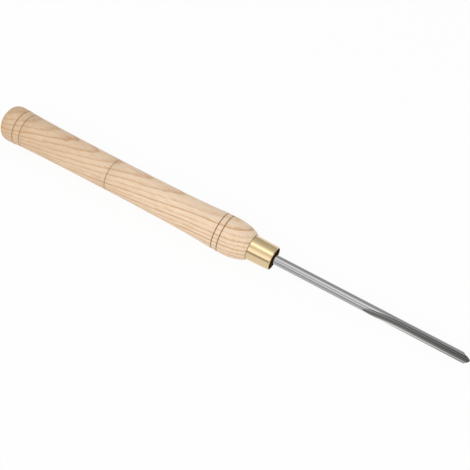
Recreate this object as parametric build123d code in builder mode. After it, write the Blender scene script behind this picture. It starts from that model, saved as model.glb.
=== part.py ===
from build123d import *
from math import acos, cos, degrees, radians, sin, tan
import os

# Woodturning gouge: a turned ash handle, a brass cup ferrule and a round steel blade.
# Millimetres. +X runs from the butt to the nose, +Z is up. The tool lies on the bench
# at Z = 0, and the origin is on the bench under the middle of its length.

# Blade: a ground round bar with a milled flute, and a bevel ground round its nose
bar_radius = 5.0
blade_reach = 206.5  # front of the ferrule to the cutting tip
shank_radius = 4.8  # the bar is turned down where it enters the ferrule
shank_depth = 60.0  # shoulder of the handle back to the end of the shank
shank_chamfer = 0.8
flute_length = 106.5  # cutting tip back to the first touch of the cutter
flute_depth = 6.2
flute_radius = 4.9  # nose radius of the cutter, seen along the bar
cutter_radius = 43.0  # outside radius of the cutter, which shapes the run-out
flute_roll = 64.0  # degrees from straight up, towards -Y
bevel_angle = 26.0  # degrees between the bevel and the bar's axis
bevel_lift = 0.8  # the bevel is ground about a line this far above the axis, up the flute

# Ferrule: a turned cup, tapered outside, with a straight bore open towards the handle
ferrule_length = 25.4
ferrule_back_radius = 13.2
ferrule_front_radius = 12.45
ferrule_wall = 1.2  # at the thinner end
ferrule_face = 1.6
ferrule_edge_radius = 1.3

# Handle outline: distances behind the shoulder, or in front of the butt end, and radii
handle_length = 306.0
shoulder_lip = 0.2  # wood standing proud of the ferrule
crown_distance, crown_radius = 5.0, 16.5
belly_distance, belly_radius = 25.0, 20.0
collar_distance, collar_radius = 42.0, 19.5
neck_distance, neck_radius = 78.0, 18.1
waist_distance, waist_radius = 152.0, 17.5
flare_from_butt, flare_radius = 66.0, 18.15
bead_from_butt, bead_radius = 19.5, 19.45
bead_step = 0.3  # the butt stands proud of the last groove
butt_radius = 20.0
butt_edge_radius = 8.4

# Burned grooves: two behind the belly, one along the grip, two at the butt
belly_grooves = (29.8, 36.2)
grip_groove = 167.2
flare_groove_from_butt = 28.0
groove_width = 1.1  # across the mouth of the V
groove_lift = 0.1  # the sides of the V run on this far above the wood

# Fits
shank_clearance = 0.05  # on the radius, blade in the handle and in the ferrule
tenon_clearance = 0.05  # on the radius, handle tenon in the ferrule
tenon_end_gap = 0.3
mill_overrun = 2.0  # cutters run this far past what they cut

# Stations along the tool
overall_length = handle_length + ferrule_length + blade_reach
butt_x = -overall_length / 2
shoulder_x = butt_x + handle_length
ferrule_front_x = shoulder_x + ferrule_length
tip_x = ferrule_front_x + blade_reach
axis_height = max(belly_radius, butt_radius)
tool_axis = Axis((0, 0, axis_height), (1, 0, 0))
side_plane = Plane(origin=(shoulder_x, 0, axis_height), x_dir=(1, 0, 0), z_dir=(0, -1, 0))

# The handle is drawn in the side plane, with x = 0 at the shoulder and y = 0 on the axis
butt_end = -handle_length
bead_corner = Vector(butt_end + bead_from_butt, bead_radius + bead_step)
ferrule_bore = min(ferrule_back_radius, ferrule_front_radius) - ferrule_wall
tenon_radius = ferrule_bore - tenon_clearance
tenon_length = ferrule_length - ferrule_face - tenon_end_gap
shank_bore = shank_radius + shank_clearance

with BuildPart() as handle:
    with BuildSketch(side_plane) as handle_section:
        with BuildLine():
            tenon = Polyline(
                (-shank_depth, 0),
                (-shank_depth, shank_bore),
                (tenon_length, shank_bore),
                (tenon_length, tenon_radius),
                (0, tenon_radius),
                (0, ferrule_back_radius + shoulder_lip),
            )
            # Every arc leaves the last one along its tangent, both ways from the belly
            belly = (-belly_distance, belly_radius)
            crown_arc = TangentArc(belly, (-crown_distance, crown_radius), tangent=(1, 0))
            TangentArc(crown_arc @ 1, tenon @ 1, tangent=crown_arc % 1)
            belly_arc = TangentArc(belly, (-collar_distance, collar_radius), tangent=(-1, 0))
            neck_arc = TangentArc(
                belly_arc @ 1, (-neck_distance, neck_radius), tangent=belly_arc % 1
            )
            grip_arc = TangentArc(
                neck_arc @ 1, (-waist_distance, waist_radius), tangent=neck_arc % 1
            )
            rise_arc = TangentArc(
                grip_arc @ 1, (butt_end + flare_from_butt, flare_radius), tangent=grip_arc % 1
            )
            flare_arc = TangentArc(
                rise_arc @ 1, (butt_end + bead_from_butt, bead_radius), tangent=rise_arc % 1
            )
            butt_bead = Polyline(
                flare_arc @ 1, bead_corner, (butt_end + butt_edge_radius, butt_radius)
            )
            butt_edge = RadiusArc(
                butt_bead @ 1, (butt_end, butt_radius - butt_edge_radius), -butt_edge_radius
            )
            Polyline(butt_edge @ 1, (butt_end, 0), tenon @ 0)
        make_face()
    revolve(axis=tool_axis)

    # A V tool cuts a groove at each station along the outline, and one beside the bead
    grooved_arcs = [(belly_arc, -distance) for distance in belly_grooves]
    grooved_arcs += [(rise_arc, -grip_groove), (flare_arc, butt_end + flare_groove_from_butt)]
    mouths = [bead_corner]
    for arc, station in grooved_arcs:
        upright = Line((station, 0), (station, 2 * axis_height), mode=Mode.PRIVATE)
        mouths += arc.find_intersection_points(upright)
    with BuildSketch(side_plane):
        with Locations(*[mouth + Vector(0, groove_lift) for mouth in mouths]):
            RegularPolygon(radius=groove_width / 2 + groove_lift, side_count=4)
    revolve(axis=tool_axis, mode=Mode.SUBTRACT)

with BuildPart() as ferrule:
    with BuildSketch(side_plane):
        with BuildLine():
            Polyline(
                (0, ferrule_bore),
                (0, ferrule_back_radius),
                (ferrule_length, ferrule_front_radius),
                (ferrule_length, shank_bore),
                (ferrule_length - ferrule_face, shank_bore),
                (ferrule_length - ferrule_face, ferrule_bore),
                close=True,
            )
        rim = make_face().vertices().group_by(Axis.X)[-1].sort_by(Axis.Y)[-1]
        fillet(rim, radius=ferrule_edge_radius)
    revolve(axis=tool_axis)

# Directions of the flute, seen along the bar: open is where it faces, across is its width
open_way = Vector(0, -sin(radians(flute_roll)), cos(radians(flute_roll)))
across = open_way.cross(Vector(1, 0, 0))
floor_offset = bar_radius - flute_depth
wall_offset = floor_offset + flute_radius
runout_angle = degrees(acos((cutter_radius - flute_depth) / cutter_radius))
runout_length = cutter_radius * sin(radians(runout_angle))
full_depth_x = tip_x - flute_length + runout_length
mill_plane = Plane(origin=(full_depth_x, 0, axis_height), x_dir=across, z_dir=(1, 0, 0))
cutter_axis = Axis(mill_plane.from_local_coords((0, floor_offset + cutter_radius, 0)), across)

# The bevel is drawn in the flute's middle plane, with the cutting tip at x = 0
nose_plane = Plane(origin=(tip_x, 0, axis_height), x_dir=(1, 0, 0), z_dir=-across)
bevel_axis = Axis(nose_plane.from_local_coords((0, bevel_lift, 0)), (1, 0, 0))
bevel_rise = tan(radians(bevel_angle))
bevel_apex = (bevel_lift - floor_offset) / bevel_rise
grind_depth = bar_radius + bevel_lift + mill_overrun

with BuildPart() as blade:
    with BuildSketch(side_plane):
        with BuildLine():
            Polyline(
                (-shank_depth, 0),
                (-shank_depth, shank_radius - shank_chamfer),
                (-shank_depth + shank_chamfer, shank_radius),
                (ferrule_length, shank_radius),
                (ferrule_length, bar_radius),
                (ferrule_length + blade_reach + mill_overrun, bar_radius),
                (ferrule_length + blade_reach + mill_overrun, 0),
                close=True,
            )
        make_face()
    revolve(axis=tool_axis)

    # The grinding wheel takes away all that lies outside the bevel's cone
    with BuildSketch(nose_plane):
        with BuildLine():
            Polyline(
                (bevel_apex, bevel_lift),
                (bevel_apex - grind_depth / bevel_rise, bevel_lift + grind_depth),
                (bevel_apex + mill_overrun, bevel_lift + grind_depth),
                (bevel_apex + mill_overrun, bevel_lift),
                close=True,
            )
        make_face()
    revolve(axis=bevel_axis, mode=Mode.SUBTRACT)

    # The milling cutter runs straight in from the nose, then lifts out on its own radius
    with BuildSketch(mill_plane) as flute_section:
        with BuildLine():
            floor_arc = ThreePointArc(
                (-flute_radius, wall_offset), (0, floor_offset), (flute_radius, wall_offset)
            )
            Polyline(
                floor_arc @ 1,
                (flute_radius, bar_radius + mill_overrun),
                (-flute_radius, bar_radius + mill_overrun),
                floor_arc @ 0,
            )
        make_face()
    extrude(amount=tip_x - full_depth_x + 2 * mill_overrun, mode=Mode.SUBTRACT)
    revolve(
        flute_section.sketch,
        axis=cutter_axis,
        revolution_arc=runout_angle + mill_overrun,
        mode=Mode.SUBTRACT,
    )

handle.part.label = "handle"
ferrule.part.label = "ferrule"
blade.part.label = "blade"

os.makedirs("parts", exist_ok=True)
export_step(handle.part, "parts/handle.step")
export_step(ferrule.part, "parts/ferrule.step")
export_step(blade.part, "parts/blade.step")
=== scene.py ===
from math import acos, cos, hypot, pi, radians, sin, tan

import bmesh
import bpy
from mathutils import Matrix, Vector


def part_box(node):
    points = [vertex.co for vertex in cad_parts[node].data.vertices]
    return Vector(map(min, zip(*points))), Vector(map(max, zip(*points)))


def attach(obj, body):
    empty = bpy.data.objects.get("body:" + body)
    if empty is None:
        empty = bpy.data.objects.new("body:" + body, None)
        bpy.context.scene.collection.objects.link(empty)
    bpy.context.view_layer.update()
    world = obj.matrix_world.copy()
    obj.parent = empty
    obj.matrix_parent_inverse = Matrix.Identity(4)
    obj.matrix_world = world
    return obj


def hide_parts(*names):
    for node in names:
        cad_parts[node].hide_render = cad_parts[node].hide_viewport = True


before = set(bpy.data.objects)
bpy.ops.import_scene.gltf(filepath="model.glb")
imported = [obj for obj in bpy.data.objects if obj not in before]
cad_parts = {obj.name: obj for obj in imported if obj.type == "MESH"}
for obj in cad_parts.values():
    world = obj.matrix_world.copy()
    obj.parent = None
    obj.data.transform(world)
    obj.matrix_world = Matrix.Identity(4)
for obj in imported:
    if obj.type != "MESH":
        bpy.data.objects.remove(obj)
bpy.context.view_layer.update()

bl_info = {
    "name": "Woodturning gouge",
    "version": (1, 0, 0),
    "blender": (4, 5, 0),
    "location": "View3D > Sidebar > Gouge",
    "description": "Finishes the handle, ferrule and blade of a gouge and sets its studio",
    "category": "Object",
}

MILLIMETRE = 0.001
HANDLE_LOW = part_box("handle")[0]
FERRULE_LOW, FERRULE_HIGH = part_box("ferrule")
BLADE_LOW, BLADE_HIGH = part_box("blade")
AXIS_HEIGHT = (BLADE_LOW.z + BLADE_HIGH.z) / 2
AXIS_POINT = Vector((0, 0, AXIS_HEIGHT))
BAR_RADIUS = (BLADE_HIGH.z - BLADE_LOW.z) / 2
SHOULDER_X = FERRULE_LOW.x
FACE_X = FERRULE_HIGH.x
NOSE_X = BLADE_HIGH.x
BLACK = (0.0, 0.0, 0.0)
WHITE = (1.0, 1.0, 1.0)
COLOUR_A, COLOUR_B, MIXED_COLOUR = 6, 7, 2  # the sockets of a Mix node that mixes colours

READING_SLACK = 0.1 * MILLIMETRE  # how close counts when a corner of an outline is looked for
EASED_STEPS = 4
ROUND = 0.5  # the profile of a rounded corner

# Ash turns tan from here to the butt, in patches
TAN_FROM_X = -40 * MILLIMETRE
PATCH_SIZE = (45 * MILLIMETRE, 18 * MILLIMETRE, 18 * MILLIMETRE)
PATCH_DEPTH = 0.7

# How dark a ring is through its year, and from one year to another
YEAR_STOPS = [(0.0, 0.2), (0.08, 1.0), (0.2, 0.75), (0.42, 0.2), (0.85, 0.0), (1.0, 0.2)]
YEAR_LEAST, YEAR_SPREAD = 0.5, 0.7

# Each kind of grain: its length and width in millimetres, and its detail
RING_GRAIN = (60, 9, 2.0)
FIBRE_GRAIN = (16, 1.0, 3.0)
PORE_GRAIN = (4, 0.3, 1.0)
SOAK_GRAIN = (7, 1.3, 1.0)

# Pores and soaked streaks show where their grain passes a level, this sharply
PORE_FROM, PORE_GAIN, PORE_DEPTH = 0.56, 9.0, 0.45
PORES_ANYWHERE, PORES_IN_EARLY = 0.15, 0.7
SOAK_FROM, SOAK_GAIN = 0.42, 5.0
SCORCH_GAIN = 1.3  # how far a burned line darkens to its middle, where 1 is all burned
PALER_BEFORE_X = 0.0  # the burned lines on the butt's side of this are paler
GRAIN_RELIEF = 0.03 * MILLIMETRE

# How far the painted shade on the ferrule's front face reaches back, and over what length it fades
FACE_SHADE_REACH = 0.12 * MILLIMETRE
FACE_SHADE_FADE = 0.05 * MILLIMETRE

# Fine marks round the ground bar, and how much they roughen it
MARKS_SIZE = (0.4 * MILLIMETRE, 9 * MILLIMETRE, 9 * MILLIMETRE)
MARKS_DEPTH = 0.04

# Steel looks ground in a skin on the bar and the bevel, and milled from this many skins in
GROUND_SKIN = 0.05 * MILLIMETRE
SKINS_BELOW_BAR, SKINS_OFF_BEVEL = 0.8, 0.5
# The flute's painted shade and highlight are laid over this span
FLUTE_SHADING_SPAN = 10.0  # millimetres across the blade that the flute's tones are laid over

# The flute's painted shade and highlight, standing in for what its walls and floor reflect:
# millimetres below its middle, and how bright the steel is painted there
FLUTE_SHADE_AND_HIGHLIGHT = [
    (-4.6, 1.00),
    (-3.5, 0.80),
    (-2.4, 0.45),
    (-1.4, 0.33),
    (-0.4, 0.23),
    (0.6, 0.245),
    (1.6, 0.12),
    (2.4, 0.115),
    (2.9, 0.22),
    (3.5, 0.42),
    (4.0, 0.54),
]

# The cloth tunnel dims from this many of its radii away, by this share in the end
DIM_FROM, DIM_BY = 0.5, 0.75
TENT_STEPS = 90

# The cloth's strips: degrees off the vertical to the front, and brightness
TENT_STRIPS = [
    (-90, 0.45),
    (-63, 0.62),
    (-48, 0.65),
    (-34, 0.77),
    (-21, 1.08),
    (-9, 1.72),
    (-3, 2.0),
    (3, 1.68),
    (12, 1.05),
    (25, 0.92),
    (37, 1.20),
    (49, 1.45),
    (61, 1.38),
    (69.8, 1.24),
    (70.4, 0.05),
    (75.4, 0.05),
    (76.0, 0.64),
    (88, 0.66),
]


class Signal:
    """A node's output. Arithmetic on it adds Math nodes to the finish that it belongs to."""

    def __init__(self, finish, socket):
        self.finish = finish
        self.socket = socket

    def math(self, operation, first, second=0.0):
        return self.finish.node("ShaderNodeMath", {"operation": operation}, {0: first, 1: second})

    def __add__(self, other):
        return self.math("ADD", self, other)

    def __sub__(self, other):
        return self.math("SUBTRACT", self, other)

    def __rsub__(self, other):
        return self.math("SUBTRACT", other, self)

    def __mul__(self, other):
        return self.math("MULTIPLY", self, other)

    def __truediv__(self, other):
        return self.math("DIVIDE", self, other)

    def __rtruediv__(self, other):
        return self.math("DIVIDE", other, self)

    def __pow__(self, other):
        return self.math("POWER", self, other)

    def __rpow__(self, other):
        return self.math("POWER", other, self)

    def __abs__(self):
        return self.math("ABSOLUTE", self)

    __radd__ = __add__
    __rmul__ = __mul__

    def whole(self):
        return self.math("FLOOR", self)

    def at_least(self, other):
        return self.math("MAXIMUM", self, other)

    def angle_from(self, other):
        return self.math("ARCTAN2", self, other)

    def clipped(self):
        return self.math("MAXIMUM", self.math("MINIMUM", self, 1.0), 0.0)


class Finish:
    """The nodes of one material, or of the world."""

    def __init__(self, owner):
        owner.use_nodes = True
        self.tree = owner.node_tree
        self.tree.nodes.clear()

    def node(self, kind, settings=None, sockets=None, output=0):
        """Adds a node, sets it, fills its sockets with values or links, and gives one output."""
        made = self.tree.nodes.new(kind)
        for name, value in (settings or {}).items():
            if name == "stops":
                self.set_stops(made.color_ramp, value)
            else:
                setattr(made, name, value)
        for key, value in (sockets or {}).items():
            if isinstance(value, Signal):
                self.tree.links.new(value.socket, made.inputs[key])
            else:
                made.inputs[key].default_value = value
        return Signal(self, made.outputs[output] if len(made.outputs) else None)

    @staticmethod
    def set_stops(ramp, stops):
        """Lays (place, grey) stops, in rising order, along a ramp that has two."""
        for place, _ in stops[1:-1]:
            ramp.elements.new(place)
        for element, (place, grey) in zip(ramp.elements, stops):
            element.position = place
            element.color = (grey, grey, grey, 1.0)

    def place(self, location=(0, 0, 0), rotation=(0, 0, 0), scale=(1, 1, 1)):
        """Object coordinates, moved, turned and scaled onto a pattern of their own."""
        here = self.node("ShaderNodeTexCoord", output="Object")
        return self.node(
            "ShaderNodeMapping",
            {"vector_type": "TEXTURE"},
            {"Vector": here, "Location": location, "Rotation": rotation, "Scale": scale},
        )

    def split(self, vector):
        parts = self.node("ShaderNodeSeparateXYZ", sockets={0: vector}).socket.node
        return [Signal(self, socket) for socket in parts.outputs]

    def noise(self, vector, detail=2.0):
        return self.node(
            "ShaderNodeTexNoise",
            sockets={
                "Vector": vector,
                "Scale": 1.0,
                "Detail": detail,
                "Roughness": 0.5,
            },
        )

    def mix(self, factor, first, second):
        return self.node(
            "ShaderNodeMix",
            {"data_type": "RGBA"},
            {"Factor": factor, COLOUR_A: opaque(first), COLOUR_B: opaque(second)},
            output=MIXED_COLOUR,
        )

    def bump(self, height, depth):
        return self.node(
            "ShaderNodeBump", sockets={"Strength": 1.0, "Distance": depth, "Height": height}
        )

    def surface(self, **sockets):
        """A Principled surface. Underscores in the names stand for the sockets' spaces."""
        named = {name.replace("_", " "): value for name, value in sockets.items()}
        shader = self.node("ShaderNodeBsdfPrincipled", sockets=named)
        self.node("ShaderNodeOutputMaterial", sockets={"Surface": shader})


def opaque(colour):
    """A colour with its alpha, or the signal that carries one, as a node socket takes it."""
    return colour if isinstance(colour, Signal) else (*colour, 1.0)


def size(name, text, millimetres):
    """A length, given in millimetres."""
    return bpy.props.FloatProperty(
        name=name,
        description=text,
        default=millimetres * MILLIMETRE,
        min=0.0,
        precision=5,
        unit="LENGTH",
        subtype="DISTANCE",
    )


def turn(name, text, degrees):
    """An angle, given in degrees."""
    return bpy.props.FloatProperty(
        name=name, description=text, default=radians(degrees), unit="ROTATION", subtype="ANGLE"
    )


def share(name, text, value, top=1.0):
    """A factor from nothing to its top."""
    return bpy.props.FloatProperty(
        name=name, description=text, default=value, min=0.0, max=top, subtype="FACTOR"
    )


def tint(name, text, colour):
    """A colour, in linear values."""
    return bpy.props.FloatVectorProperty(
        name=name, description=text, default=colour, min=0.0, max=1.0, size=3, subtype="COLOR"
    )


class GougeTurning(bpy.types.PropertyGroup):
    """How finely the round pieces are turned."""

    steps: bpy.props.IntProperty(
        name="Steps", description="Facets round each turned piece", default=160, min=24, max=512
    )
    weld: size("Weld", "Points closer than this become one", 0.002)
    straight: turn("Straight", "Bends flatter than this leave no point in an outline", 0.05)
    crease: turn("Crease", "Edges sharper than this stay crisp", 12.0)


class GougeBlade(bpy.types.PropertyGroup):
    """The round bar of the blade, its milled flute and its ground bevel."""

    shank_radius: size("Shank radius", "Radius of the part inside the ferrule and handle", 4.8)
    shank_chamfer: size("Shank chamfer", "Chamfer at the hidden end of the shank", 0.8)
    bevel: turn("Bevel", "Angle between the bevel and the bar's axis", 26.0)
    bevel_lift: size("Bevel lift", "From the bar's axis up to the bevel's, up the flute", 0.8)
    bevel_side: size("Bevel side", "From the flute's middle over to the bevel's axis", 0.7)
    flute_length: size("Flute length", "From the tip back to the cutter's first touch", 108.5)
    flute_depth: size("Flute depth", "Depth of the flute below the bar's surface", 6.2)
    flute_radius: size("Flute radius", "Radius of the flute's floor", 4.9)
    cutter_radius: size("Cutter radius", "Radius that the flute runs out on", 160.0)
    flute_roll: turn("Flute roll", "Where the flute faces, from straight up to the front", 64.0)
    overrun: size("Overrun", "How far the cutter runs past what it cuts", 2.0)
    flute_steps: bpy.props.IntProperty(
        name="Flute steps", description="Facets round the cutter's edge", default=96, min=16
    )
    runout_steps: bpy.props.IntProperty(
        name="Run-out steps", description="Facets along the run-out", default=36, min=4
    )


class GougeWood(bpy.types.PropertyGroup):
    """The ash of the handle."""

    ring_spacing: size("Ring spacing", "Thickness of one year's growth", 4.4)
    ring_wander: size("Ring wander", "How far the rings wave to and fro", 3.2)
    pith_distance: size("Pith distance", "From the handle's axis to the heart of the tree", 70.0)
    ring_roll: turn("Ring roll", "Turns the rings about the handle's axis", -40.0)
    ring_slope: turn("Ring slope", "Lean of the rings to the handle's axis", -6.7)
    ring_bow: size("Ring bow", "Radius that the rings bend to along the handle", 3100.0)
    pale_wood: tint("Pale wood", "Wood between the rings near the ferrule", (0.925, 0.712, 0.51))
    tan_wood: tint("Tan wood", "Wood between the rings at the butt", (0.735, 0.52, 0.33))
    early_wood: tint("Early wood", "The porous darker line of a ring", (0.57, 0.30, 0.105))
    pore: tint("Pore", "Open pores in the early wood", (0.40, 0.22, 0.10))
    # Also painted as shade in the joint where the wood meets the ferrule
    scorch_and_joint_shade: tint("Scorch", "Wood burned in the grooves", (0.21, 0.08, 0.004))
    scorch_width: size("Scorch width", "Half the width of a burned line", 0.68)
    scorch_fade: share("Scorch fade", "How much paler the lines toward the butt are", 0.36)
    ring_depth: share("Ring depth", "How much darker the porous lines are", 0.76)
    fibre_depth: share("Fibre depth", "How much the fibres streak the wood", 1.15, 2.0)
    eased_corner: size("Eased corner", "Rounding of the wood beside the ferrule", 1.1)
    soak_depth: size("Soak depth", "How far the oil darkens the end grain at the butt", 17.0)
    soak: share("Soak", "How much the soaked end grain is streaked", 0.55)
    wood_roughness: share("Wood roughness", "Roughness of the sanded, oiled wood", 0.5)


class GougeMetal(bpy.types.PropertyGroup):
    """The brass of the ferrule and the steel of the blade."""

    brass: tint("Brass", "Polished brass", (0.72, 0.555, 0.33))
    brass_roughness: share("Brass roughness", "Roughness of the polished brass", 0.055)
    # Painted shade: the dark, dull front face stands in for the shade at the ferrule's end
    face_shade: tint("Face shade", "The dull front face of the ferrule", (0.045, 0.022, 0.008))
    steel: tint("Steel", "Ground tool steel", (0.40, 0.40, 0.398))
    steel_roughness: share("Steel roughness", "Roughness of the ground steel", 0.06)
    # This tint is the flute's brightest painted highlight; the ramp below paints the flute's shade
    # from it
    milled: tint("Milled steel", "Tone of the flute where it is brightest", (1.0, 0.99, 0.96))
    milled_roughness: share("Milled roughness", "Roughness of the milled steel", 0.18)
    # Painted shade: the flute is painted darker toward the nose, where its reflections look
    # darker; this tint and its share set that shade
    nose_shade: tint("Nose shade", "The dark skin in the flute's nose", (0.06, 0.059, 0.056))
    nose_shading: share("Nose shading", "How far the flute takes that skin on at the nose", 0.65)


class GougeStudio(bpy.types.PropertyGroup):
    """The floor, the light and the camera."""

    aim: bpy.props.FloatVectorProperty(
        name="Aim",
        description="Where the camera looks",
        default=(0.01584, 0.0027, 0.02141),
        precision=5,
        unit="LENGTH",
        subtype="TRANSLATION",
    )
    distance: size("Distance", "From the camera to its aim", 780.0)
    azimuth: turn("Azimuth", "Camera's turn from straight in front", 30.85)
    elevation: turn("Elevation", "Camera's height above the horizon", 60.7)
    lens: bpy.props.FloatProperty(
        name="Lens", description="Focal length", default=59.74, min=1.0, unit="CAMERA"
    )
    floor_side: size("Floor side", "Length of the square floor's side", 30000.0)
    floor_colour: tint("Floor colour", "Plain pale floor", (0.95, 0.95, 0.95))
    floor_glow: share("Floor glow", "Share of plain white in the floor that is looked at", 0.93)
    sky: share("Sky", "Strength of the even light from all round", 0.65, 4.0)
    lamp_power: bpy.props.FloatProperty(
        name="Lamp power", description="Power of the overhead lamp", default=15.0, unit="POWER"
    )
    lamp_side: size("Lamp side", "Length of the square lamp's side", 1600.0)
    lamp_height: size("Lamp height", "Height of the lamp over the floor", 1800.0)
    lamp_lean: turn("Lamp lean", "How far the lamp stands off the vertical, to the front", 30.0)
    tent_radius: size("Tent radius", "Radius of the cloth tunnel that the metal reflects", 3000.0)
    tent_length: size("Tent length", "Length of the cloth tunnel", 12000.0)
    tent_gain: share("Tent gain", "Brightness of the cloth's brightest strip", 2.0, 4.0)


def new_object(name, shape, material=None):
    """An object at the origin that takes over a bmesh."""
    mesh = bpy.data.meshes.new(name)
    shape.to_mesh(mesh)
    shape.free()
    if material:
        mesh.materials.append(material)
    made = bpy.data.objects.new(name, mesh)
    bpy.context.scene.collection.objects.link(made)
    return made


def new_piece(name, shape, material, node, settings):
    """An object made from a bmesh that stands for one node of the frame."""
    bmesh.ops.recalc_face_normals(shape, faces=shape.faces)
    piece = new_object(name, shape, material)
    piece.data.shade_smooth()
    piece.data.set_sharp_from_angle(angle=settings.crease)
    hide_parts(node)
    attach(piece, "root")


def merged_copy(node, settings):
    """The node's mesh in a bmesh, with its loose triangles joined."""
    shape = bmesh.new()
    shape.from_mesh(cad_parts[node].data)
    bmesh.ops.remove_doubles(shape, verts=shape.verts, dist=settings.weld)
    return shape


def half_section(node, settings):
    """The outline that a turned node shows above its axis when it is sawn in two."""
    section = merged_copy(node, settings)
    for normal, both in (((0, 1, 0), True), ((0, 0, -1), False)):
        bmesh.ops.bisect_plane(
            section,
            geom=[*section.verts, *section.edges, *section.faces],
            dist=settings.weld,
            plane_co=AXIS_POINT,
            plane_no=normal,
            clear_inner=both,
            clear_outer=True,
        )
    bmesh.ops.dissolve_limit(
        section, angle_limit=settings.straight, verts=section.verts, edges=section.edges
    )
    return section


def ease_corner(section, station, width):
    """Rounds the outermost corner that the outline has at a station."""
    corners = [point for point in section.verts if abs(point.co.x - station) < READING_SLACK]
    corner = max(corners, key=lambda point: point.co.z)
    bmesh.ops.bevel(
        section,
        geom=[corner],
        offset=width,
        segments=EASED_STEPS,
        profile=ROUND,
        affect="VERTICES",
        material=-1,
    )


def turn_round(section, settings, centre=AXIS_POINT):
    """Spins a half section into a closed solid about the line along X through the centre."""
    bmesh.ops.spin(
        section,
        geom=[*section.verts, *section.edges],
        cent=centre,
        axis=(1, 0, 0),
        angle=2 * pi,
        steps=settings.steps,
        use_merge=True,
    )
    bmesh.ops.remove_doubles(section, verts=section.verts, dist=settings.weld)


def turned_solid(outline, settings, centre=AXIS_POINT):
    """The solid turned from (station, radius) corners, which start and end on the centre."""
    solid = bmesh.new()
    corners = [solid.verts.new(centre + Vector((x, 0, radius))) for x, radius in outline]
    for pair in zip(corners, corners[1:]):
        solid.edges.new(pair)
    turn_round(solid, settings, centre)
    bmesh.ops.recalc_face_normals(solid, faces=solid.faces)
    return solid


def groove_stations(section, width):
    """Stations along the handle of the corners that lie below both of their neighbours."""
    stations = []
    for corner in section.verts:
        ends = [edge.other_vert(corner).co for edge in corner.link_edges]
        near = [end for end in ends if abs(end.x - corner.co.x) < width]
        if len(near) == 2 and min(end.z for end in near) > corner.co.z + READING_SLACK:
            stations.append(corner.co.x)
    return stations


def ash_finish(settings, stations):
    """Ring-porous wood in the round: sloping rings, long fibres, pores, burned lines in the
    grooves and painted shade where the wood meets the ferrule.
    """
    material = bpy.data.materials.new("ash")
    finish = Finish(material)
    grain_way = {
        "location": AXIS_POINT,
        "rotation": (settings.ring_roll, settings.ring_slope, 0),
    }

    def grain(length, width, detail):
        """Noise drawn out along the rings, with its length and width in millimetres."""
        scale = (length * MILLIMETRE, width * MILLIMETRE, width * MILLIMETRE)
        return finish.noise(finish.place(**grain_way, scale=scale), detail=detail)

    lengthways, sideways, outwards = finish.split(
        finish.place(**grain_way, scale=(MILLIMETRE,) * 3)
    )
    heart = outwards + settings.pith_distance / MILLIMETRE
    depth = (sideways * sideways + heart * heart) ** 0.5
    depth = depth + lengthways * lengthways / (2 * settings.ring_bow / MILLIMETRE)
    depth = depth + (grain(*RING_GRAIN) - 0.5) * (settings.ring_wander / MILLIMETRE)
    rings = depth / (settings.ring_spacing / MILLIMETRE)
    year = rings.whole()
    growth = finish.node("ShaderNodeTexWhiteNoise", {"noise_dimensions": "1D"}, {"W": year})
    early = finish.node("ShaderNodeValToRGB", {"stops": YEAR_STOPS}, {"Fac": rings - year})
    fibres = grain(*FIBRE_GRAIN)
    dark = early * (growth * YEAR_SPREAD + YEAR_LEAST) * settings.ring_depth
    dark = (dark + (fibres - 0.5) * settings.fibre_depth).clipped()

    along, _, _ = finish.split(finish.place())
    to_butt = ((TAN_FROM_X - along) / (TAN_FROM_X - HANDLE_LOW.x)).clipped()
    patches = finish.noise(finish.place(scale=PATCH_SIZE))
    tanned = (to_butt + (patches - 0.5) * PATCH_DEPTH).clipped()
    wood = finish.mix(tanned, settings.pale_wood, settings.tan_wood)
    wood = finish.mix(dark, wood, settings.early_wood)
    pores = ((grain(*PORE_GRAIN) - PORE_FROM) * PORE_GAIN).clipped()
    pores = pores * (early * PORES_IN_EARLY + PORES_ANYWHERE)
    wood = finish.mix(pores * PORE_DEPTH, wood, settings.pore)
    soaked = (1 - (along - HANDLE_LOW.x) / settings.soak_depth).clipped()
    streaks = ((grain(*SOAK_GRAIN) - SOAK_FROM) * SOAK_GAIN).clipped() * soaked
    wood = finish.mix(streaks * settings.soak, wood, settings.pore)

    # Burned lines at the grooves, and at the shoulder a line of painted shade where the wood meets
    # the ferrule
    burn = None
    for station in stations:
        line = (1 - abs(along - station) / settings.scorch_width) * SCORCH_GAIN
        if station < PALER_BEFORE_X:
            line = line * (1 - settings.scorch_fade)
        burn = line if burn is None else burn.at_least(line)
    wood = finish.mix(burn.clipped(), wood, settings.scorch_and_joint_shade)
    relief = finish.bump(fibres - pores, GRAIN_RELIEF)
    finish.surface(Base_Color=wood, Roughness=settings.wood_roughness, Normal=relief)
    return material


def brass_finish(settings):
    """Polished brass, with painted shade on the flat face at the front."""
    material = bpy.data.materials.new("brass")
    finish = Finish(material)
    along, _, _ = finish.split(finish.place())
    # The front face is painted dark as shade, not metal
    face = ((along - FACE_X + FACE_SHADE_REACH) / FACE_SHADE_FADE).clipped()
    finish.surface(
        Base_Color=finish.mix(face, settings.brass, settings.face_shade),
        Metallic=1 - face,
        Roughness=settings.brass_roughness,
        Specular_IOR_Level=0.0,
    )
    return material


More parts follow.
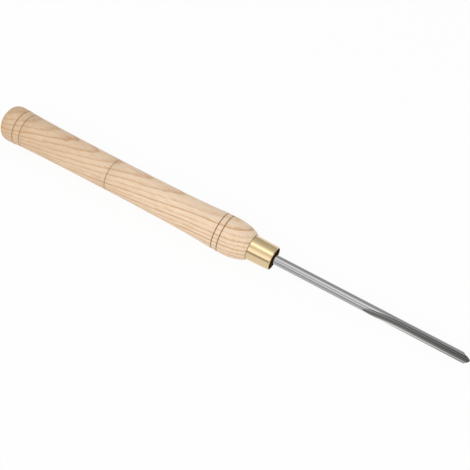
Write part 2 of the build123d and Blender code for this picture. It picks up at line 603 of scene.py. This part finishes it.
def steel_finish(settings, blade):
    """Tool steel, ground on the bar and the bevel, milled in the flute, with painted shade and
    highlight across the flute and painted shade toward its nose.
    """
    material = bpy.data.materials.new("tool_steel")
    finish = Finish(material)
    marks = finish.noise(finish.place(scale=MARKS_SIZE))
    along, side, up = finish.split(finish.place(AXIS_POINT))
    below_bar = BAR_RADIUS - (side * side + up * up) ** 0.5
    apex, rise = bevel_cone(blade)
    bevel_radius = ((side - apex.y) ** 2.0 + (up - apex.z) ** 2.0) ** 0.5
    off_bevel = abs(bevel_radius - (apex.x - along) * rise)
    inside_bar = (below_bar / GROUND_SKIN - SKINS_BELOW_BAR).clipped()
    milled = inside_bar * (off_bevel / GROUND_SKIN - SKINS_OFF_BEVEL).clipped()

    across = side * cos(blade.flute_roll) + up * sin(blade.flute_roll)
    # Painted shade and highlight across the flute, from its rim to its floor, for what the flute
    # reflects
    painted_flute_shading = finish.node(
        "ShaderNodeValToRGB",
        {"stops": [(0.5 + below / FLUTE_SHADING_SPAN, level) for below, level in FLUTE_SHADE_AND_HIGHLIGHT]},
        {"Fac": 0.5 - across / (FLUTE_SHADING_SPAN * MILLIMETRE)},
    )
    # Painted shade that grows toward the nose
    nose_shade_share = ((along - NOSE_X) / blade.flute_length + 1).clipped() * settings.nose_shading
    flute = finish.mix(nose_shade_share, finish.mix(painted_flute_shading, BLACK, settings.milled), settings.nose_shade)
    rough = milled * (settings.milled_roughness - settings.steel_roughness)
    finish.surface(
        Base_Color=finish.mix(milled, settings.steel, flute),
        Metallic=1.0,
        Roughness=(marks - 0.5) * MARKS_DEPTH + rough + settings.steel_roughness,
    )
    return material


class GOUGE_OT_handle(bpy.types.Operator):
    """Turn the ash handle from the frame's outline and burn its grooves"""

    bl_idname = "gouge.handle"
    bl_label = "Handle"

    def execute(self, context):
        turning = context.scene.gouge_turning
        wood = context.scene.gouge_wood
        section = half_section("handle", turning)
        groove_width = 2 * wood.scorch_width
        stations = groove_stations(section, groove_width)
        if not stations:
            raise RuntimeError("the handle's outline shows no grooves")
        ease_corner(section, SHOULDER_X, wood.eased_corner)
        turn_round(section, turning)
        # The shoulder's line is painted shade in the joint; the others are burned lines
        ash = ash_finish(wood, [*stations, SHOULDER_X])
        new_piece("turned_handle", section, ash, "handle", turning)
        return {"FINISHED"}


class GOUGE_OT_ferrule(bpy.types.Operator):
    """Turn the brass ferrule from the frame's outline"""

    bl_idname = "gouge.ferrule"
    bl_label = "Ferrule"

    def execute(self, context):
        turning = context.scene.gouge_turning
        section = half_section("ferrule", turning)
        turn_round(section, turning)
        brass = brass_finish(context.scene.gouge_metal)
        new_piece("brass_ferrule", section, brass, "ferrule", turning)
        return {"FINISHED"}


def open_way(blade):
    """Where the flute faces, seen along the bar."""
    return Vector((0, -sin(blade.flute_roll), cos(blade.flute_roll)))


def bar_blank(blade, turning):
    """The bar before milling and grinding: a shouldered shank and the round bar."""
    end_x = NOSE_X + blade.overrun
    outline = [
        (BLADE_LOW.x, 0),
        (BLADE_LOW.x, blade.shank_radius - blade.shank_chamfer),
        (BLADE_LOW.x + blade.shank_chamfer, blade.shank_radius),
        (FACE_X, blade.shank_radius),
        (FACE_X, BAR_RADIUS),
        (end_x, BAR_RADIUS),
        (end_x, 0),
    ]
    return turned_solid(outline, turning)


def bevel_cone(blade):
    """The bevel's apex, seen from the bar's axis, and how fast its radius grows behind that."""
    rise = tan(blade.bevel)
    wall_height = BAR_RADIUS - blade.flute_depth + blade.flute_radius
    facet_middle = blade.flute_radius * cos(pi / blade.flute_steps)
    nearest = facet_middle - hypot(wall_height - blade.bevel_lift, blade.bevel_side)
    low_way = Vector((0, -cos(blade.flute_roll), -sin(blade.flute_roll)))
    centre = open_way(blade) * blade.bevel_lift + low_way * blade.bevel_side
    return Vector((NOSE_X + nearest / rise, centre.y, centre.z)), rise


def bevel_waste(blade, turning):
    """What the grinding wheel takes away: all that lies outside the bevel's cone."""
    apex, rise = bevel_cone(blade)
    depth = BAR_RADIUS + blade.bevel_lift + blade.bevel_side + blade.overrun
    outline = [
        (apex.x, 0),
        (apex.x - depth / rise, depth),
        (apex.x + blade.overrun, depth),
        (apex.x + blade.overrun, 0),
    ]
    return turned_solid(outline, turning, AXIS_POINT + Vector((0, apex.y, apex.z)))


def flute_cutter(blade):
    """What the milling cutter takes away: a U section, straight to the nose, lifting behind."""
    floor_height = BAR_RADIUS - blade.flute_depth
    wall_height = floor_height + blade.flute_radius
    runout = acos(1 - blade.flute_depth / blade.cutter_radius)
    full_depth_x = NOSE_X - blade.flute_length + blade.cutter_radius * sin(runout)
    cutter = bmesh.new()
    bmesh.ops.create_circle(
        cutter,
        segments=blade.flute_steps,
        radius=blade.flute_radius,
        matrix=Matrix.Translation((0, wall_height, 0)),
    )
    for corner in cutter.verts:
        if corner.co.y > wall_height:
            corner.co.y = BAR_RADIUS + blade.overrun
    section = [*cutter.edges, *cutter.verts]
    bmesh.ops.spin(
        cutter,
        geom=section,
        cent=(0, floor_height + blade.cutter_radius, 0),
        axis=(1, 0, 0),
        angle=runout + blade.overrun / blade.cutter_radius,
        steps=blade.runout_steps,
    )
    rim = [item for item in section if isinstance(item, bmesh.types.BMEdge)]
    straight = bmesh.ops.extrude_edge_only(cutter, edges=rim)
    pushed = [item for item in straight["geom"] if isinstance(item, bmesh.types.BMVert)]
    reach = NOSE_X + 2 * blade.overrun - full_depth_x
    bmesh.ops.translate(cutter, verts=pushed, vec=(0, 0, reach))
    bmesh.ops.holes_fill(cutter, edges=cutter.edges)
    along, upwards = Vector((1, 0, 0)), open_way(blade)
    cutter_axes = Matrix((upwards.cross(along), upwards, along)).transposed().to_4x4()
    onto_bar = Matrix.Translation((full_depth_x, 0, AXIS_HEIGHT)) @ cutter_axes
    bmesh.ops.transform(cutter, matrix=onto_bar, verts=cutter.verts)
    bmesh.ops.recalc_face_normals(cutter, faces=cutter.faces)
    return cutter


def cut_away(blank, cutter):
    """The blank less the cutter, as a bmesh. Both are used up."""
    stock = new_object("blank", blank)
    tool = new_object("cutter", cutter)
    milling = stock.modifiers.new("milling", "BOOLEAN")
    milling.operation = "DIFFERENCE"
    milling.solver = "EXACT"
    milling.object = tool
    milled = stock.evaluated_get(bpy.context.evaluated_depsgraph_get())
    shape = bmesh.new()
    shape.from_mesh(milled.to_mesh())
    milled.to_mesh_clear()
    for body in (stock, tool):
        mesh = body.data
        bpy.data.objects.remove(body)
        bpy.data.meshes.remove(mesh)
    return shape


class GOUGE_OT_blade(bpy.types.Operator):
    """Turn the steel bar, grind its bevel and mill its flute"""

    bl_idname = "gouge.blade"
    bl_label = "Blade"

    def execute(self, context):
        turning = context.scene.gouge_turning
        blade = context.scene.gouge_blade
        ground = cut_away(bar_blank(blade, turning), bevel_waste(blade, turning))
        shape = cut_away(ground, flute_cutter(blade))
        bmesh.ops.remove_doubles(shape, verts=shape.verts, dist=turning.weld)
        if not shape.faces:
            raise RuntimeError("milling left nothing of the blade")
        steel = steel_finish(context.scene.gouge_metal, blade)
        new_piece("steel_blade", shape, steel, "blade", turning)
        return {"FINISHED"}


def looked_at(finish):
    """1 for what the camera, a reflection or a refraction sees, 0 for light on the object."""
    path = finish.node("ShaderNodeLightPath").socket.node.outputs
    names = ("Is Camera Ray", "Is Glossy Ray", "Is Transmission Ray")
    camera, glossy, through = (Signal(finish, path[name]) for name in names)
    return (camera + glossy + through).clipped()


def staged(name, shape, material):
    """An object made from a bmesh for the studio."""
    thing = new_object(name, shape, material)
    return thing


class GOUGE_OT_studio(bpy.types.Operator):
    """Lay the floor, hang the light and stand the camera"""

    bl_idname = "gouge.studio"
    bl_label = "Studio"

    def execute(self, context):
        studio = context.scene.gouge_studio
        self.lay_floor(studio)
        self.light(context.scene, studio)
        self.hang_tent(studio)
        self.stand_camera(context.scene, studio)
        context.scene.view_settings.view_transform = "Standard"
        return {"FINISHED"}

    def lay_floor(self, studio):
        material = bpy.data.materials.new("floor")
        finish = Finish(material)
        lit = finish.node("ShaderNodeBsdfDiffuse", sockets={"Color": opaque(studio.floor_colour)})
        white = finish.node("ShaderNodeEmission", sockets={"Color": opaque(WHITE)})
        share_of_white = looked_at(finish) * studio.floor_glow
        both = finish.node("ShaderNodeMixShader", sockets={0: share_of_white, 1: lit, 2: white})
        finish.node("ShaderNodeOutputMaterial", sockets={"Surface": both})
        floor = bmesh.new()
        bmesh.ops.create_grid(floor, x_segments=1, y_segments=1, size=studio.floor_side / 2)
        staged("floor", floor, material)

    def light(self, scene, studio):
        world = bpy.data.worlds.new("studio_air")
        scene.world = world
        finish = Finish(world)
        lit, white = (
            finish.node("ShaderNodeBackground", sockets={"Color": opaque(WHITE), "Strength": sky})
            for sky in (studio.sky, 1.0)
        )
        both = finish.node("ShaderNodeMixShader", sockets={0: looked_at(finish), 1: lit, 2: white})
        finish.node("ShaderNodeOutputWorld", sockets={"Surface": both})

        lamp_data = bpy.data.lights.new("overhead", "AREA")
        lamp_data.energy = studio.lamp_power
        lamp_data.size = studio.lamp_side
        lamp = bpy.data.objects.new("overhead", lamp_data)
        off_vertical = Vector((0, -sin(studio.lamp_lean), cos(studio.lamp_lean)))
        lamp.location = off_vertical * (studio.lamp_height / cos(studio.lamp_lean))
        lamp.rotation_euler = off_vertical.to_track_quat("Z", "Y").to_euler()
        lamp.visible_glossy = False
        scene.collection.objects.link(lamp)

    def hang_tent(self, studio):
        """A half tunnel of white cloth over the tool, with brighter and darker strips."""
        material = bpy.data.materials.new("tent_cloth")
        finish = Finish(material)
        along, depth, height = finish.split(finish.place(AXIS_POINT))
        to_front = (0 - depth).angle_from(height)
        strips = finish.node(
            "ShaderNodeValToRGB",
            {"stops": [(a / 180 + 0.5, level / studio.tent_gain) for a, level in TENT_STRIPS]},
            {"Fac": to_front / pi + 0.5},
        )
        dim = (abs(along) / studio.tent_radius - DIM_FROM).clipped() * DIM_BY
        glow = finish.node(
            "ShaderNodeEmission",
            sockets={"Color": strips * (1 - dim), "Strength": studio.tent_gain},
        )
        finish.node("ShaderNodeOutputMaterial", sockets={"Surface": glow})
        tunnel = bmesh.new()
        ends = [(side * studio.tent_length / 2, -studio.tent_radius, 0) for side in (-1, 1)]
        rim = tunnel.edges.new([tunnel.verts.new(end) for end in ends])
        bmesh.ops.spin(
            tunnel,
            geom=[*rim.verts, rim],
            cent=(0, 0, 0),
            axis=(1, 0, 0),
            angle=-pi,
            steps=TENT_STEPS,
        )
        tent = staged("tent", tunnel, material)
        tent.visible_camera = False
        tent.visible_diffuse = False
        tent.visible_shadow = False

    def stand_camera(self, scene, studio):
        back = Vector(
            (
                sin(studio.azimuth) * cos(studio.elevation),
                -cos(studio.azimuth) * cos(studio.elevation),
                sin(studio.elevation),
            )
        )
        camera_data = bpy.data.cameras.new("camera")
        camera_data.lens = studio.lens
        camera = bpy.data.objects.new("camera", camera_data)
        camera.location = Vector(studio.aim) + back * studio.distance
        camera.rotation_euler = back.to_track_quat("Z", "Y").to_euler()
        scene.collection.objects.link(camera)
        scene.camera = camera


class GOUGE_PT_panel(bpy.types.Panel):
    """Lists what makes the gouge and its studio"""

    bl_idname = "GOUGE_PT_panel"
    bl_label = "Woodturning gouge"
    bl_space_type = "VIEW_3D"
    bl_region_type = "UI"
    bl_category = "Gouge"

    def draw(self, context):
        for name, operators in PANEL_ROWS:
            settings = getattr(context.scene, name)
            box = self.layout.box()
            for prop in settings.__annotations__:
                box.prop(settings, prop)
            for operator in operators:
                box.operator(operator.bl_idname)


GROUPS = {
    "gouge_turning": GougeTurning,
    "gouge_blade": GougeBlade,
    "gouge_wood": GougeWood,
    "gouge_metal": GougeMetal,
    "gouge_studio": GougeStudio,
}
PANEL_ROWS = [
    ("gouge_turning", []),
    ("gouge_wood", [GOUGE_OT_handle]),
    ("gouge_metal", [GOUGE_OT_ferrule]),
    ("gouge_blade", [GOUGE_OT_blade]),
    ("gouge_studio", [GOUGE_OT_studio]),
]
CLASSES = [
    *GROUPS.values(),
    GOUGE_OT_handle,
    GOUGE_OT_ferrule,
    GOUGE_OT_blade,
    GOUGE_OT_studio,
    GOUGE_PT_panel,
]


def register():
    for cls in CLASSES:
        bpy.utils.register_class(cls)
    for name, group in GROUPS.items():
        setattr(bpy.types.Scene, name, bpy.props.PointerProperty(type=group))


def unregister():
    for name in GROUPS:
        delattr(bpy.types.Scene, name)
    for cls in reversed(CLASSES):
        bpy.utils.unregister_class(cls)


def main():
    register()
    bpy.ops.gouge.handle()
    bpy.ops.gouge.ferrule()
    bpy.ops.gouge.blade()
    bpy.ops.gouge.studio()


if __name__ == "__main__":
    main()
